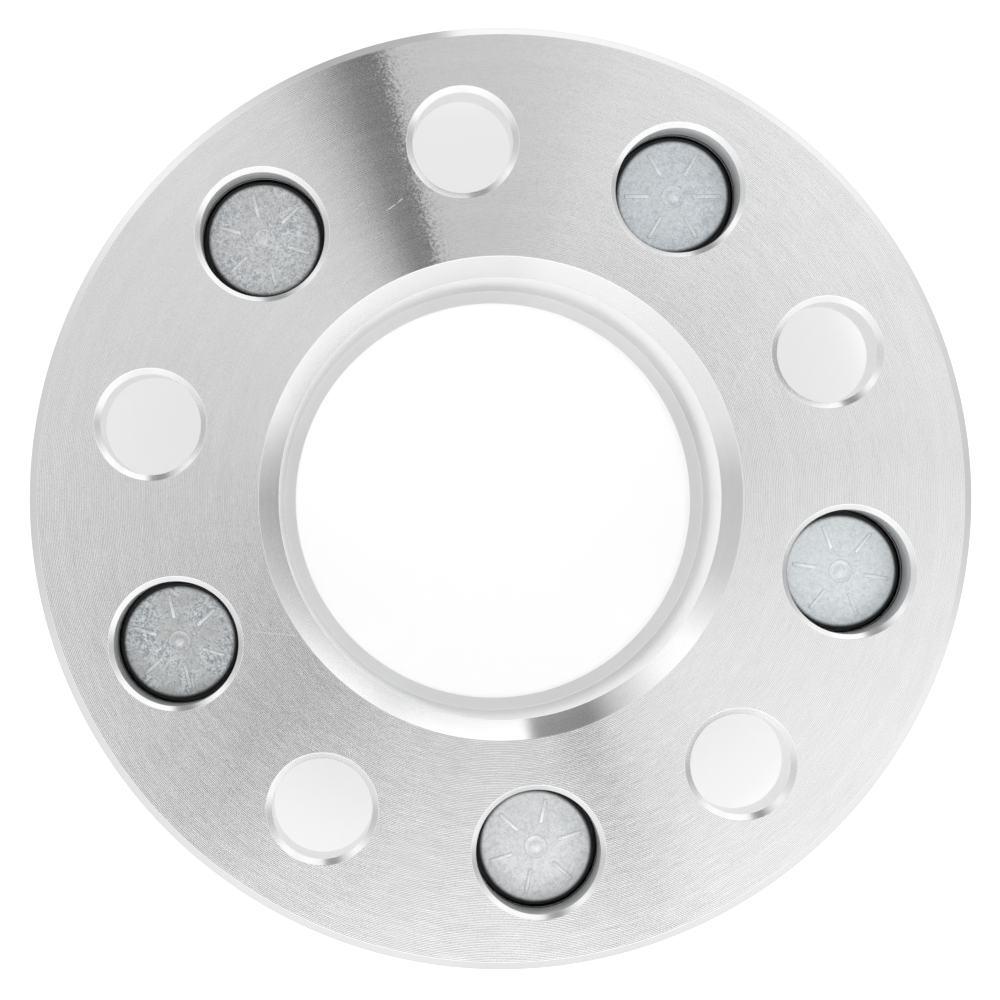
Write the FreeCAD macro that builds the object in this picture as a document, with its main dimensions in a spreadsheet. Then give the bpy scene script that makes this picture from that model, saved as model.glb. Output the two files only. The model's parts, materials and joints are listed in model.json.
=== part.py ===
import FreeCAD, Part
import os

import Sketcher

# Bolt-on wheel spacer: a turned aluminium plate that bolts to a car's hub, and five
# press-in wheel studs that carry the wheel on its other side.
# Frame: origin on the plate's axis in the plane of the wheel face, +Z towards the hub
# face, one clear hole on +Y. The studs point down -Z, so the part stands on their tips.
# All lengths are in millimetres and all angles in degrees.

SIZES = (
    # the plate
    ("outer_diameter", 151.5),
    ("plate_thickness", 31.75),
    ("rim_chamfer", 1.3),
    ("back_rim_chamfer", 1.0),
    # the hub's pilot, which enters the bore and which the lip repeats for the wheel
    ("pilot_diameter", 71.4),
    ("pilot_clearance", 0.05),
    ("hub_bore_chamfer", 3.15),
    # what is left of the plate between the end of the hub bore and the wheel face
    ("lip_web", 2.75),
    ("lip_height", 5.5),
    ("lip_wall", 1.9),
    ("lip_chamfer", 0.7),
    ("lip_inner_chamfer", 0.3),
    # the two circles of holes, each clear hole midway between two studs
    ("bolt_count", 5),
    ("hub_circle_diameter", 115),
    ("wheel_circle_diameter", 114.3),
    # clear holes for the hub's own studs, with a seat and a pocket for each nut
    ("clear_hole_diameter", 16.2),
    ("clear_hole_chamfer", 0.95),
    ("nut_seat_depth", 10.9),
    ("nut_seat_angle", 60),
    ("nut_pocket_diameter", 25),
    # the wheel studs and their counterbored holes
    ("head_diameter", 19.2),
    ("head_thickness", 6),
    ("head_edge_chamfer", 0.55),
    ("head_clearance", 0.45),
    ("head_recess", 9),
    ("counterbore_chamfer", 0.8),
    ("stud_length", 47),
    ("thread_diameter", 14),
    ("thread_tip_chamfer", 1),
    # the splines that bite into the plate, drawn with their tips at the hole's wall
    ("spline_diameter", 15.4),
    ("spline_depth", 0.45),
    ("spline_fit", 0.02),
    ("spline_count", 36),
    # how deep each spline is rooted in the shank, as a multiple of what stands free
    ("spline_root_share", 1.7),
    # the bars that the forming die leaves on each head
    ("grade_bar_count", 6),
    ("grade_bar_start", 3.9),
    ("grade_bar_length", 4.0),
    ("grade_bar_width", 0.66),
    ("grade_bar_height", 0.16),
    # how far each stud is turned about its own axis as it was pressed in
    ("stud_1_turn", 37.9),
    ("stud_2_turn", 36.9),
    ("stud_3_turn", 11.9),
    ("stud_4_turn", 44.9),
    ("stud_5_turn", 53.9),
    # how far a cutting outline runs past the surface that it cuts
    ("cut_past", 1),
)

SHEET_NAME = "Sizes"
PLATE_NAME = "spacer_plate"
STUD_NAME = "wheel_stud"
STATED_TURNS = 5
FULL_TURN = 360

# Expressions that several outlines share.
HUB_BORE_RADIUS = "(Sizes.pilot_diameter / 2 + Sizes.pilot_clearance)"
LIP_RADIUS = "(Sizes.pilot_diameter / 2)"
LIP_BORE_RADIUS = "(Sizes.pilot_diameter / 2 - Sizes.lip_wall)"
COUNTERBORE_DEPTH = "(Sizes.head_recess + Sizes.head_thickness)"
COUNTERBORE_RADIUS = "(Sizes.head_diameter / 2 + Sizes.head_clearance)"
SHANK_END = f"({COUNTERBORE_DEPTH} - Sizes.plate_thickness)"
STUD_HOLE_RADIUS = "(Sizes.spline_diameter / 2 + Sizes.spline_fit)"
THREAD_RADIUS = "(Sizes.thread_diameter / 2)"
HALF_PITCH = "(180 / Sizes.bolt_count)"


def add_sheet(doc):
    """The driving dimensions, one to a row, each with its own alias."""
    sheet = doc.addObject("Spreadsheet::Sheet", SHEET_NAME)
    for row, (alias, value) in enumerate(SIZES, start=1):
        sheet.set(f"A{row}", alias)
        sheet.set(f"B{row}", str(value))
        sheet.setAlias(f"B{row}", alias)
    doc.recompute()
    return sheet


def new_body(doc, name):
    body = doc.addObject("PartDesign::Body", name)
    body.Label = name
    return body


def origin_part(body, role):
    """One of the body's own planes or axes, such as XY_Plane or Z_Axis."""
    for feature in body.Origin.OriginFeatures:
        if feature.Role == role:
            return feature
    raise ValueError(f"{body.Label} has no {role}")


def place_corner(sketch, line, corner):
    """Ties the start of one line to its place, which two expressions give."""
    start_point = 1
    axes = (("DistanceX", -2), ("DistanceY", -1))
    for (kind, axis), expression in zip(axes, corner):
        value = float(sketch.evalExpression(expression))
        if value == 0:
            sketch.addConstraint(Sketcher.Constraint("PointOnObject", line, start_point, axis))
            continue
        constraint = Sketcher.Constraint(kind, line, start_point, value)
        index = sketch.addConstraint(constraint)
        sketch.setExpression(f"Constraints[{index}]", expression)


def draw_outline(body, name, plane, corners, offset=None):
    """A closed outline of straight lines, on one of the body's own planes.

    Each corner is a pair of expressions. offset gives expressions that move the
    outline's own origin along the plane's axes x, y and z.
    """
    sketch = body.newObject("Sketcher::SketchObject", name)
    sketch.AttachmentSupport = [(origin_part(body, plane), "")]
    sketch.MapMode = "FlatFace"
    for axis, expression in (offset or {}).items():
        sketch.setExpression(f"AttachmentOffset.Base.{axis}", expression)
    points = []
    for across, up in corners:
        x = float(sketch.evalExpression(across))
        y = float(sketch.evalExpression(up))
        points.append(FreeCAD.Vector(x, y, 0))
    for start, end in zip(points, points[1:] + points[:1]):
        sketch.addGeometry(Part.LineSegment(start, end), False)
    line_count = len(points)
    for line in range(line_count):
        following = (line + 1) % line_count
        sketch.addConstraint(Sketcher.Constraint("Coincident", line, 2, following, 1))
    for line, corner in enumerate(corners):
        place_corner(sketch, line, corner)
    return sketch


def turn(body, kind, name, sketch):
    """A turned form or a turned cut about the upright axis of its sketch."""
    feature = body.newObject(f"PartDesign::{kind}", name)
    feature.Profile = (sketch, [""])
    feature.ReferenceAxis = (sketch, ["V_Axis"])
    feature.Angle = FULL_TURN
    body.Tip = feature
    return feature


def pad(body, name, sketch, length, downwards=False):
    feature = body.newObject("PartDesign::Pad", name)
    feature.Profile = (sketch, [""])
    feature.setExpression("Length", length)
    feature.Reversed = downwards
    body.Tip = feature
    return feature


def repeat_round(body, name, originals, count):
    """Copies features evenly round the body's Z axis."""
    pattern = body.newObject("PartDesign::PolarPattern", name)
    pattern.Originals = originals
    pattern.Axis = (origin_part(body, "Z_Axis"), [""])
    pattern.Angle = FULL_TURN
    pattern.setExpression("Occurrences", count)
    body.Tip = pattern
    return pattern


def cut_hole(body, name, circle_diameter, turned_by, corners):
    """A stepped round hole, cut by its half section turned about the hole's axis.

    The section's heights are counted from the hub face.
    """
    offset = {
        "x": f"Sizes.{circle_diameter} / 2 * cos({turned_by})",
        "y": "Sizes.plate_thickness",
        "z": f"-Sizes.{circle_diameter} / 2 * sin({turned_by})",
    }
    section = draw_outline(body, f"{name}_section", "YZ_Plane", corners, offset)
    return turn(body, "Groove", name, section)


def turned_plate_section():
    """Half section of the plate: hub bore, lip and rim, seen along +Y."""
    hub_face = "Sizes.plate_thickness"
    rim = "Sizes.outer_diameter / 2"
    step_end = f"Sizes.lip_web - {HUB_BORE_RADIUS} + {LIP_BORE_RADIUS}"
    return (
        (f"{HUB_BORE_RADIUS} + Sizes.hub_bore_chamfer", hub_face),
        (f"{rim} - Sizes.rim_chamfer", hub_face),
        (rim, f"{hub_face} - Sizes.rim_chamfer"),
        (rim, "Sizes.back_rim_chamfer"),
        (f"{rim} - Sizes.back_rim_chamfer", "0"),
        (LIP_RADIUS, "0"),
        (LIP_RADIUS, "Sizes.lip_chamfer - Sizes.lip_height"),
        (f"{LIP_RADIUS} - Sizes.lip_chamfer", "-Sizes.lip_height"),
        (f"{LIP_BORE_RADIUS} + Sizes.lip_inner_chamfer", "-Sizes.lip_height"),
        (LIP_BORE_RADIUS, "Sizes.lip_inner_chamfer - Sizes.lip_height"),
        (LIP_BORE_RADIUS, step_end),
        (HUB_BORE_RADIUS, "Sizes.lip_web"),
        (HUB_BORE_RADIUS, f"{hub_face} - Sizes.hub_bore_chamfer"),
    )


def clear_hole_section():
    """Half section of a clear hole: chamfer, land, conical nut seat and nut pocket."""
    hole = "Sizes.clear_hole_diameter / 2"
    pocket = "Sizes.nut_pocket_diameter / 2"
    seat_end = f"Sizes.nut_seat_depth + ({pocket} - {hole}) / tan(Sizes.nut_seat_angle / 2)"
    past_back = "-Sizes.plate_thickness - Sizes.cut_past"
    return (
        ("0", "Sizes.cut_past"),
        (f"{hole} + Sizes.clear_hole_chamfer + Sizes.cut_past", "Sizes.cut_past"),
        (hole, "-Sizes.clear_hole_chamfer"),
        (hole, "-Sizes.nut_seat_depth"),
        (pocket, f"-({seat_end})"),
        (pocket, past_back),
        ("0", past_back),
    )


def stud_hole_section():
    """Half section of a stud hole: chamfered counterbore for the head, then the shank."""
    past_back = "-Sizes.plate_thickness - Sizes.cut_past"
    mouth = f"{COUNTERBORE_RADIUS} + Sizes.counterbore_chamfer + Sizes.cut_past"
    return (
        ("0", "Sizes.cut_past"),
        (mouth, "Sizes.cut_past"),
        (COUNTERBORE_RADIUS, "-Sizes.counterbore_chamfer"),
        (COUNTERBORE_RADIUS, f"-{COUNTERBORE_DEPTH}"),
        (STUD_HOLE_RADIUS, f"-{COUNTERBORE_DEPTH}"),
        (STUD_HOLE_RADIUS, past_back),
        ("0", past_back),
    )


def make_plate(doc):
    """The turned plate, with both circles of holes drilled through it."""
    plate = new_body(doc, PLATE_NAME)
    section = draw_outline(plate, "plate_section", "XZ_Plane", turned_plate_section())
    turn(plate, "Revolution", "turned_plate", section)
    clear_hole = cut_hole(plate, "clear_hole", "hub_circle_diameter", "0", clear_hole_section())
    stud_hole = cut_hole(plate, "stud_hole", "wheel_circle_diameter", HALF_PITCH, stud_hole_section())
    repeat_round(plate, "both_hole_circles", [clear_hole, stud_hole], "Sizes.bolt_count")
    return plate


def blank_section():
    """Half section of the head and of the shank that carries the splines."""
    return (
        ("0", "Sizes.head_thickness"),
        ("Sizes.head_diameter / 2 - Sizes.head_edge_chamfer", "Sizes.head_thickness"),
        ("Sizes.head_diameter / 2", "Sizes.head_thickness - Sizes.head_edge_chamfer"),
        ("Sizes.head_diameter / 2", "0"),
        (THREAD_RADIUS, "0"),
        (THREAD_RADIUS, SHANK_END),
        ("0", SHANK_END),
    )


def thread_section():
    """Half section of the plain cylinder that stands in for the thread."""
    return (
        ("0", SHANK_END),
        (THREAD_RADIUS, SHANK_END),
        (THREAD_RADIUS, "Sizes.thread_tip_chamfer - Sizes.stud_length"),
        (f"{THREAD_RADIUS} - Sizes.thread_tip_chamfer", "-Sizes.stud_length"),
        ("0", "-Sizes.stud_length"),
    )


def add_splines(stud):
    """Sharp straight splines from the head to the wheel face, with V-shaped roots between."""
    tip = "Sizes.spline_diameter / 2"
    root_radius = f"({tip} - Sizes.spline_depth)"
    half_step = "(180 / Sizes.spline_count)"
    foot = f"{tip} - Sizes.spline_root_share * ({tip} - {root_radius} * cos({half_step}))"
    half_width = f"Sizes.spline_root_share * {root_radius} * sin({half_step})"
    spline_outline = ((foot, f"-({half_width})"), (tip, "0"), (foot, half_width))
    sketch = draw_outline(stud, "spline_outline", "XY_Plane", spline_outline)
    spline = pad(stud, "spline", sketch, f"-{SHANK_END}", downwards=True)
    repeat_round(stud, "splines", [spline], "Sizes.spline_count")


def add_grade_bars(stud):
    """Raised bars that spread from the middle of the head like spokes."""
    on_top = {"z": "Sizes.head_thickness"}
    bar_end = "Sizes.grade_bar_start + Sizes.grade_bar_length"
    bar_outline = (
        ("Sizes.grade_bar_start", "-Sizes.grade_bar_width / 2"),
        (bar_end, "-Sizes.grade_bar_width / 2"),
        (bar_end, "Sizes.grade_bar_width / 2"),
        ("Sizes.grade_bar_start", "Sizes.grade_bar_width / 2"),
    )
    sketch = draw_outline(stud, "grade_bar_outline", "XY_Plane", bar_outline, on_top)
    bar = pad(stud, "grade_bar", sketch, "Sizes.grade_bar_height")
    repeat_round(stud, "grade_bars", [bar], "Sizes.grade_bar_count")


def seat_stud(stud, number):
    """Stands the stud in its hole, head down on the counterbore's floor, tip at -Z."""
    bearing = f"(90 + {HALF_PITCH} + {number - 1} * 2 * {HALF_PITCH})"
    stud.Placement = FreeCAD.Placement(FreeCAD.Vector(), FreeCAD.Rotation(FreeCAD.Vector(0, 0, 1), 1))
    stud.setExpression("Placement.Base.x", f"Sizes.wheel_circle_diameter / 2 * cos({bearing})")
    stud.setExpression("Placement.Base.y", f"Sizes.wheel_circle_diameter / 2 * sin({bearing})")
    stud.setExpression("Placement.Base.z", f"Sizes.plate_thickness - {COUNTERBORE_DEPTH}")
    stated = (number - 1) % STATED_TURNS + 1
    stud.setExpression("Placement.Rotation.Angle", f"Sizes.stud_{stated}_turn")


def make_stud(doc, number):
    """One press-in stud: head, splined shank and a plain cylinder in place of the thread."""
    stud = new_body(doc, f"{STUD_NAME}_{number}")
    blank = draw_outline(stud, "blank_section", "XZ_Plane", blank_section())
    turn(stud, "Revolution", "turned_blank", blank)
    add_splines(stud)
    thread = draw_outline(stud, "thread_section", "XZ_Plane", thread_section())
    turn(stud, "Revolution", "thread", thread)
    add_grade_bars(stud)
    seat_stud(stud, number)
    return stud


def check_document(doc, pieces):
    """Stops unless every object is sound and every piece is one closed solid."""
    for item in doc.Objects:
        faults = [state for state in item.State if state in ("Invalid", "Error")]
        if faults:
            raise RuntimeError(f"{item.Name} is {', '.join(faults)}")
    for piece in pieces:
        shape = piece.Shape
        if shape.isNull() or not shape.isValid() or len(shape.Solids) != 1:
            raise RuntimeError(f"{piece.Label} is not one sound solid")


def write_pieces(pieces):
    os.makedirs("parts", exist_ok=True)
    for piece in pieces:
        piece.Shape.exportStep(f"parts/{piece.Label}.step")
        box = piece.Shape.BoundBox
        print(
            f"{piece.Label}: volume {piece.Shape.Volume:.1f} mm3,"
            f" z {box.ZMin:.2f} to {box.ZMax:.2f}, {len(piece.Shape.Faces)} faces"
        )


def main():
    doc = FreeCAD.newDocument("wheel_spacer")
    sheet = add_sheet(doc)
    pieces = [make_plate(doc)]
    for number in range(1, int(sheet.bolt_count) + 1):
        pieces.append(make_stud(doc, number))
    doc.recompute()
    check_document(doc, pieces)
    write_pieces(pieces)


main()
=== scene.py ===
# %% [markdown]
# # A bolt-on wheel spacer, seen from its hub side
#
# The object is a thick disc of turned aluminium with a chamfered hub bore, five clear
# holes and five sunk stud heads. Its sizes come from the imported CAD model, which this
# script loads as a fixed frame. Here each piece gets the fine edges, threads and
# finishes that its solid leaves out, and a studio like the one in the photograph.

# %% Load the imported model
import json
import math

import bpy
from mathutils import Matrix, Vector


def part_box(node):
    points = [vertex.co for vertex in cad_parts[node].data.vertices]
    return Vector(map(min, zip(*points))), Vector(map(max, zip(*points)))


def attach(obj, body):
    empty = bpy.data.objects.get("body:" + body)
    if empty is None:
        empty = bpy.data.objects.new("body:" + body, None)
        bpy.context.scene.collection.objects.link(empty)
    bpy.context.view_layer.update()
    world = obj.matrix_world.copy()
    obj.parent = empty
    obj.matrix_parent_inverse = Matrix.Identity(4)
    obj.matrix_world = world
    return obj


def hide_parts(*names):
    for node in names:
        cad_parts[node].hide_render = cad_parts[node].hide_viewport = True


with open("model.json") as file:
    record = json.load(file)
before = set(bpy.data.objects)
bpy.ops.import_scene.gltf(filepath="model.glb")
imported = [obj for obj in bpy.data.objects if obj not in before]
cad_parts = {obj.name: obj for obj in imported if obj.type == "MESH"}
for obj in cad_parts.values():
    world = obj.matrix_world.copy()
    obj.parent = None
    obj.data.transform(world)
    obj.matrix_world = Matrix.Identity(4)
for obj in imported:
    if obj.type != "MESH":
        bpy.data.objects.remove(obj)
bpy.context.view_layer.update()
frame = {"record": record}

MM = 0.001

# %% [markdown]
# ## Sizes
#
# The radii that other parts fit, and the heights of the faces, are read from the frame,
# so the pieces below can't drift from the CAD model. What the frame doesn't say, such as
# the width of a chamfer, is a named value in millimetres where it is first needed.

# %% Sizes from the frame
MOUNTS = {mount["name"]: mount for mount in frame["record"]["mounts"]}


def size_of(mount, name):
    """One of a mount's own sizes, in metres."""
    return MOUNTS[mount]["dims"][name] * MM


plate_low, plate_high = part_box("spacer_plate")
OUTER_RADIUS = plate_high.x
HUB_FACE = plate_high.z
WHEEL_FACE = MOUNTS["wheel_face"]["pos_m"][2]
LIP_END = plate_low.z
HUB_BORE_RADIUS = size_of("hub_bore", "r_mm")
LIP_RADIUS = size_of("wheel_lip", "r_mm")
HUB_CIRCLE_RADIUS = size_of("hub_studs", "pcd_mm") / 2
CLEAR_HOLE_RADIUS = size_of("hub_studs", "hole_r_mm")
STUD_CIRCLE_RADIUS = size_of("wheel_studs", "pcd_mm") / 2
THREAD_RADIUS = size_of("wheel_studs", "stud_r_mm")
COUNT = MOUNTS["wheel_studs"]["dims"]["count"]
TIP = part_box("wheel_stud_1")[0].z
print("Plate", round(2 * OUTER_RADIUS / MM, 2), "mm across, hub face at", round(HUB_FACE / MM, 2))
print(COUNT, "studs, which end at", round(TIP / MM, 2))

# %% [markdown]
# ## Tools for modelling
#
# A turned piece is modelled as it is made: one circle is extruded from corner to corner of
# the half section, and scaled to the radius of each. This is the same work as pressing E
# and S by hand, and it gives clean rings of faces, whose steps round the axis are alike.


# %% Selecting, settling, copying and joining
def select_only(*pieces):
    """Leaves edit mode and selects these pieces alone, the last of them active."""
    if bpy.context.object and bpy.context.object.mode != "OBJECT":
        bpy.ops.object.mode_set(mode="OBJECT")
    bpy.ops.object.select_all(action="DESELECT")
    for piece in pieces:
        piece.select_set(True)
        bpy.context.view_layer.objects.active = piece


def settle(piece):
    """Writes a piece's place and turn into its mesh, so that its object sits at the origin."""
    select_only(piece)
    bpy.ops.object.transform_apply(location=True, rotation=True, scale=True)


def duplicate(piece, name, place=(0, 0, 0), turn=0.0):
    """A copy with its own mesh, turned about the Z axis and then moved."""
    select_only(piece)
    bpy.ops.object.duplicate(linked=False)
    copy = bpy.context.object
    copy.name = copy.data.name = name
    copy.rotation_euler.z = turn
    copy.location = place
    settle(copy)
    return copy


def join(name, pieces):
    """One piece out of several."""
    select_only(*pieces)
    bpy.ops.object.join()
    whole = bpy.context.object
    whole.name = whole.data.name = name
    return whole


def combine(piece, other, operation):
    """Cuts other away from piece, or keeps only what both share, and removes other."""
    boolean = piece.modifiers.new(operation.lower(), "BOOLEAN")
    boolean.operation = operation
    boolean.solver = "EXACT"
    boolean.object = other
    select_only(piece)
    bpy.ops.object.modifier_apply(modifier=boolean.name)
    bpy.data.objects.remove(other)


print("Tools ready: select_only, settle, duplicate, join, combine")


# %% Turning a half section
def turned(name, outline, steps, ends="filled"):
    """A turned form about the Z axis.

    The outline's corners are pairs of a radius and a height. Its two ends are filled,
    left open, or with ends="bridged" the last corner is joined to the first one.
    """
    select_only()
    start_radius, start_height = outline[0]
    place = (0, 0, start_height)
    circle = {"vertices": steps, "radius": start_radius, "fill_type": "NOTHING"}
    bpy.ops.mesh.primitive_circle_add(location=place, **circle)
    piece = bpy.context.object
    piece.name = piece.data.name = name
    settle(piece)
    bpy.ops.object.mode_set(mode="EDIT")
    bpy.ops.mesh.select_all(action="SELECT")
    for (radius, height), (next_radius, next_height) in zip(outline, outline[1:]):
        rise = (0, 0, next_height - height)
        bpy.ops.mesh.extrude_region_move(TRANSFORM_OT_translate={"value": rise})
        growth = next_radius / radius
        bpy.ops.transform.resize(value=(growth, growth, 1), center_override=(0, 0, 0))
    bpy.ops.mesh.select_all(action="DESELECT")
    bpy.ops.mesh.select_non_manifold()
    if ends == "bridged":
        bpy.ops.mesh.bridge_edge_loops()
    elif ends == "filled":
        bpy.ops.mesh.fill_holes(sides=0)
    bpy.ops.mesh.select_all(action="SELECT")
    bpy.ops.mesh.normals_make_consistent(inside=False)
    bpy.ops.object.mode_set(mode="OBJECT")
    return piece


def broken_corners(outline, size):
    """The same closed outline with a small flat on each of its corners."""
    broken = []
    previous = outline[-1:] + outline[:-1]
    following = outline[1:] + outline[:1]
    for before, corner, after in zip(previous, outline, following):
        for neighbour in (before, after):
            towards = Vector(neighbour) - Vector(corner)
            step = towards.normalized() * min(size, towards.length / 3)
            broken.append(tuple(Vector(corner) + step))
    return broken


# A file's stroke takes this much off each sharp edge.
EDGE_BREAK = 0.05 * MM
# How far a cutter runs past the face that it cuts.
PAST = 1 * MM


def mouth(radius, chamfer, face, side):
    """Corners of a hole's chamfered mouth, from its wall out past the face.

    side is 1 where the face looks up and -1 where it looks down. The last corner but
    one makes the small flat where the chamfer meets the face.
    """
    flat = EDGE_BREAK * 0.7
    slope = (EDGE_BREAK + flat) / flat
    return [
        (radius, face - side * chamfer),
        (radius + chamfer - flat, face - side * flat),
        (radius + chamfer + EDGE_BREAK + PAST * slope, face + side * PAST),
    ]


print("Each sharp edge loses", round(EDGE_BREAK / MM, 3), "mm")


# %% [markdown]
# ## The plate
#
# On a lathe the blank gets its bore, lip and rim in one turning. Then a drill and a
# stepped cutter go down ten times. The same is done here: one turned ring, and ten turned
# cutters that one Boolean modifier takes away. A bevel modifier could round the edges
# afterwards, but it stumbles where a hole meets a large flat face, so each edge's small
# flat is part of the half sections instead.

# %% Turn the blank
HUB_BORE_CHAMFER = 3.15 * MM
HUB_BORE_END = 2.75 * MM
LIP_WALL = 1.9 * MM
LIP_CHAMFER = 0.7 * MM
LIP_INNER_CHAMFER = 0.3 * MM
RIM_CHAMFER = 1.3 * MM
BACK_RIM_CHAMFER = 1.0 * MM
STEPS_ROUND_PLATE = 360
LIP_BORE_RADIUS = LIP_RADIUS - LIP_WALL
plate_outline = [
    (HUB_BORE_RADIUS + HUB_BORE_CHAMFER, HUB_FACE),
    (OUTER_RADIUS - RIM_CHAMFER, HUB_FACE),
    (OUTER_RADIUS, HUB_FACE - RIM_CHAMFER),
    (OUTER_RADIUS, WHEEL_FACE + BACK_RIM_CHAMFER),
    (OUTER_RADIUS - BACK_RIM_CHAMFER, WHEEL_FACE),
    (LIP_RADIUS, WHEEL_FACE),
    (LIP_RADIUS, LIP_END + LIP_CHAMFER),
    (LIP_RADIUS - LIP_CHAMFER, LIP_END),
    (LIP_BORE_RADIUS + LIP_INNER_CHAMFER, LIP_END),
    (LIP_BORE_RADIUS, LIP_END + LIP_INNER_CHAMFER),
    (LIP_BORE_RADIUS, HUB_BORE_END - HUB_BORE_RADIUS + LIP_BORE_RADIUS),
    (HUB_BORE_RADIUS, HUB_BORE_END),
    (HUB_BORE_RADIUS, HUB_FACE - HUB_BORE_CHAMFER),
]
plate_section = broken_corners(plate_outline, EDGE_BREAK)
plate = turned("turned_plate", plate_section, STEPS_ROUND_PLATE, ends="bridged")
print("Turned blank:", len(plate.data.polygons), "faces")

# %% Half sections of the two kinds of hole
CLEAR_HOLE_CHAMFER = 0.95 * MM
NUT_SEAT = HUB_FACE - 10.9 * MM
NUT_SEAT_ANGLE = math.radians(60)
NUT_POCKET_RADIUS = 12.5 * MM
NUT_POCKET_CHAMFER = 0.5 * MM
HEAD_RADIUS = 9.6 * MM
COUNTERBORE_RADIUS = HEAD_RADIUS + 0.45 * MM
COUNTERBORE_CHAMFER = 0.8 * MM
SEAT = HUB_FACE - 15 * MM
SPLINE_RADIUS = 7.7 * MM
STUD_HOLE_RADIUS = SPLINE_RADIUS + 0.02 * MM
STUD_HOLE_CHAMFER = 0.3 * MM
seat_end = NUT_SEAT - (NUT_POCKET_RADIUS - CLEAR_HOLE_RADIUS) / math.tan(NUT_SEAT_ANGLE / 2)
clear_hole_outline = (
    mouth(NUT_POCKET_RADIUS, NUT_POCKET_CHAMFER, WHEEL_FACE, -1)[::-1]
    + [(NUT_POCKET_RADIUS, seat_end), (CLEAR_HOLE_RADIUS, NUT_SEAT)]
    + mouth(CLEAR_HOLE_RADIUS, CLEAR_HOLE_CHAMFER, HUB_FACE, 1)
)
stud_hole_outline = (
    mouth(STUD_HOLE_RADIUS, STUD_HOLE_CHAMFER, WHEEL_FACE, -1)[::-1]
    + [(STUD_HOLE_RADIUS, SEAT), (COUNTERBORE_RADIUS, SEAT)]
    + mouth(COUNTERBORE_RADIUS, COUNTERBORE_CHAMFER, HUB_FACE, 1)
)
print("The nut seats start", round((HUB_FACE - NUT_SEAT) / MM, 2), "mm below the hub face")


# %% Where the holes are
def on_circle(radius, angle, height=0.0):
    return Vector((radius * math.cos(angle), radius * math.sin(angle), height))


PITCH_ANGLE = 2 * math.pi / COUNT
CLEAR_HOLE_ANGLES = [math.pi / 2 + PITCH_ANGLE * number for number in range(COUNT)]
STUD_ANGLES = [angle + PITCH_ANGLE / 2 for angle in CLEAR_HOLE_ANGLES]
CLEAR_HOLE_PLACES = [on_circle(HUB_CIRCLE_RADIUS, angle) for angle in CLEAR_HOLE_ANGLES]
STUD_PLACES = [on_circle(STUD_CIRCLE_RADIUS, angle) for angle in STUD_ANGLES]
print("Bearings of the studs:", [round(math.degrees(angle)) for angle in STUD_ANGLES])

# %% Cut the holes
STEPS_ROUND_HOLE = 96
SMOOTH_BELOW = math.radians(15)
cutters = []
for outline, places in ((clear_hole_outline, CLEAR_HOLE_PLACES), (stud_hole_outline, STUD_PLACES)):
    cutter = turned("cutter", outline, STEPS_ROUND_HOLE)
    cutters += [duplicate(cutter, "cutter", place) for place in places]
    bpy.data.objects.remove(cutter)
combine(plate, join("cutters", cutters), "DIFFERENCE")
select_only(plate)
bpy.ops.object.shade_smooth_by_angle(angle=SMOOTH_BELOW)
print("Drilled plate:", len(plate.data.polygons), "faces")

# %% [markdown]
# ## The studs
#
# Each stud is forged, so its head has a soft edge and the bars that the die leaves. Its
# splines and its thread are rolled. Head, splines and thread are modelled round the
# origin, joined, and then copied to the five holes, each turned as it happened to be
# pressed in. The die also leaves a plain round mark in the middle of each head.

# %% The head
HEAD_THICKNESS = 6 * MM
HEAD_TOP = SEAT + HEAD_THICKNESS
HEAD_EDGE = 1.0 * MM
UNDER_EDGE = 0.3 * MM
EDGE_STEPS = 8
STEPS_ROUND_HEAD = 144
head_outline = [(HEAD_RADIUS - UNDER_EDGE, SEAT), (HEAD_RADIUS, SEAT + UNDER_EDGE)]
for step in range(EDGE_STEPS + 1):
    lean = math.pi / 2 * step / EDGE_STEPS
    across = HEAD_RADIUS - HEAD_EDGE * (1 - math.cos(lean))
    head_outline.append((across, HEAD_TOP - HEAD_EDGE * (1 - math.sin(lean))))
head = turned("head", head_outline, STEPS_ROUND_HEAD)
print("Head:", round(HEAD_RADIUS * 2 / MM, 2), "mm across, top at", round(HEAD_TOP / MM, 2))

# %% The bars and the die mark
BAR_COUNT = 6
BAR_START = 3.9 * MM
BAR_LENGTH = 4.0 * MM
BAR_WIDTH = 0.66 * MM
BAR_HEIGHT = 0.16 * MM
BAR_EDGE = 0.12 * MM
MARK_RADIUS = 1.9 * MM
DIMPLE_RADIUS = 0.8 * MM


def raised_bar():
    """A low bar with sloping sides, on the +X side of the head."""
    select_only()
    middle = (BAR_START + BAR_LENGTH / 2, 0, HEAD_TOP)
    sides = (BAR_LENGTH, BAR_WIDTH, 2 * BAR_HEIGHT)
    bpy.ops.mesh.primitive_cube_add(size=1, location=middle, scale=sides)
    bar = bpy.context.object
    settle(bar)
    bpy.ops.object.mode_set(mode="EDIT")
    bpy.ops.mesh.select_all(action="SELECT")
    bpy.ops.mesh.bevel(offset=BAR_EDGE, segments=3)
    bpy.ops.object.mode_set(mode="OBJECT")
    return bar


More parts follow.
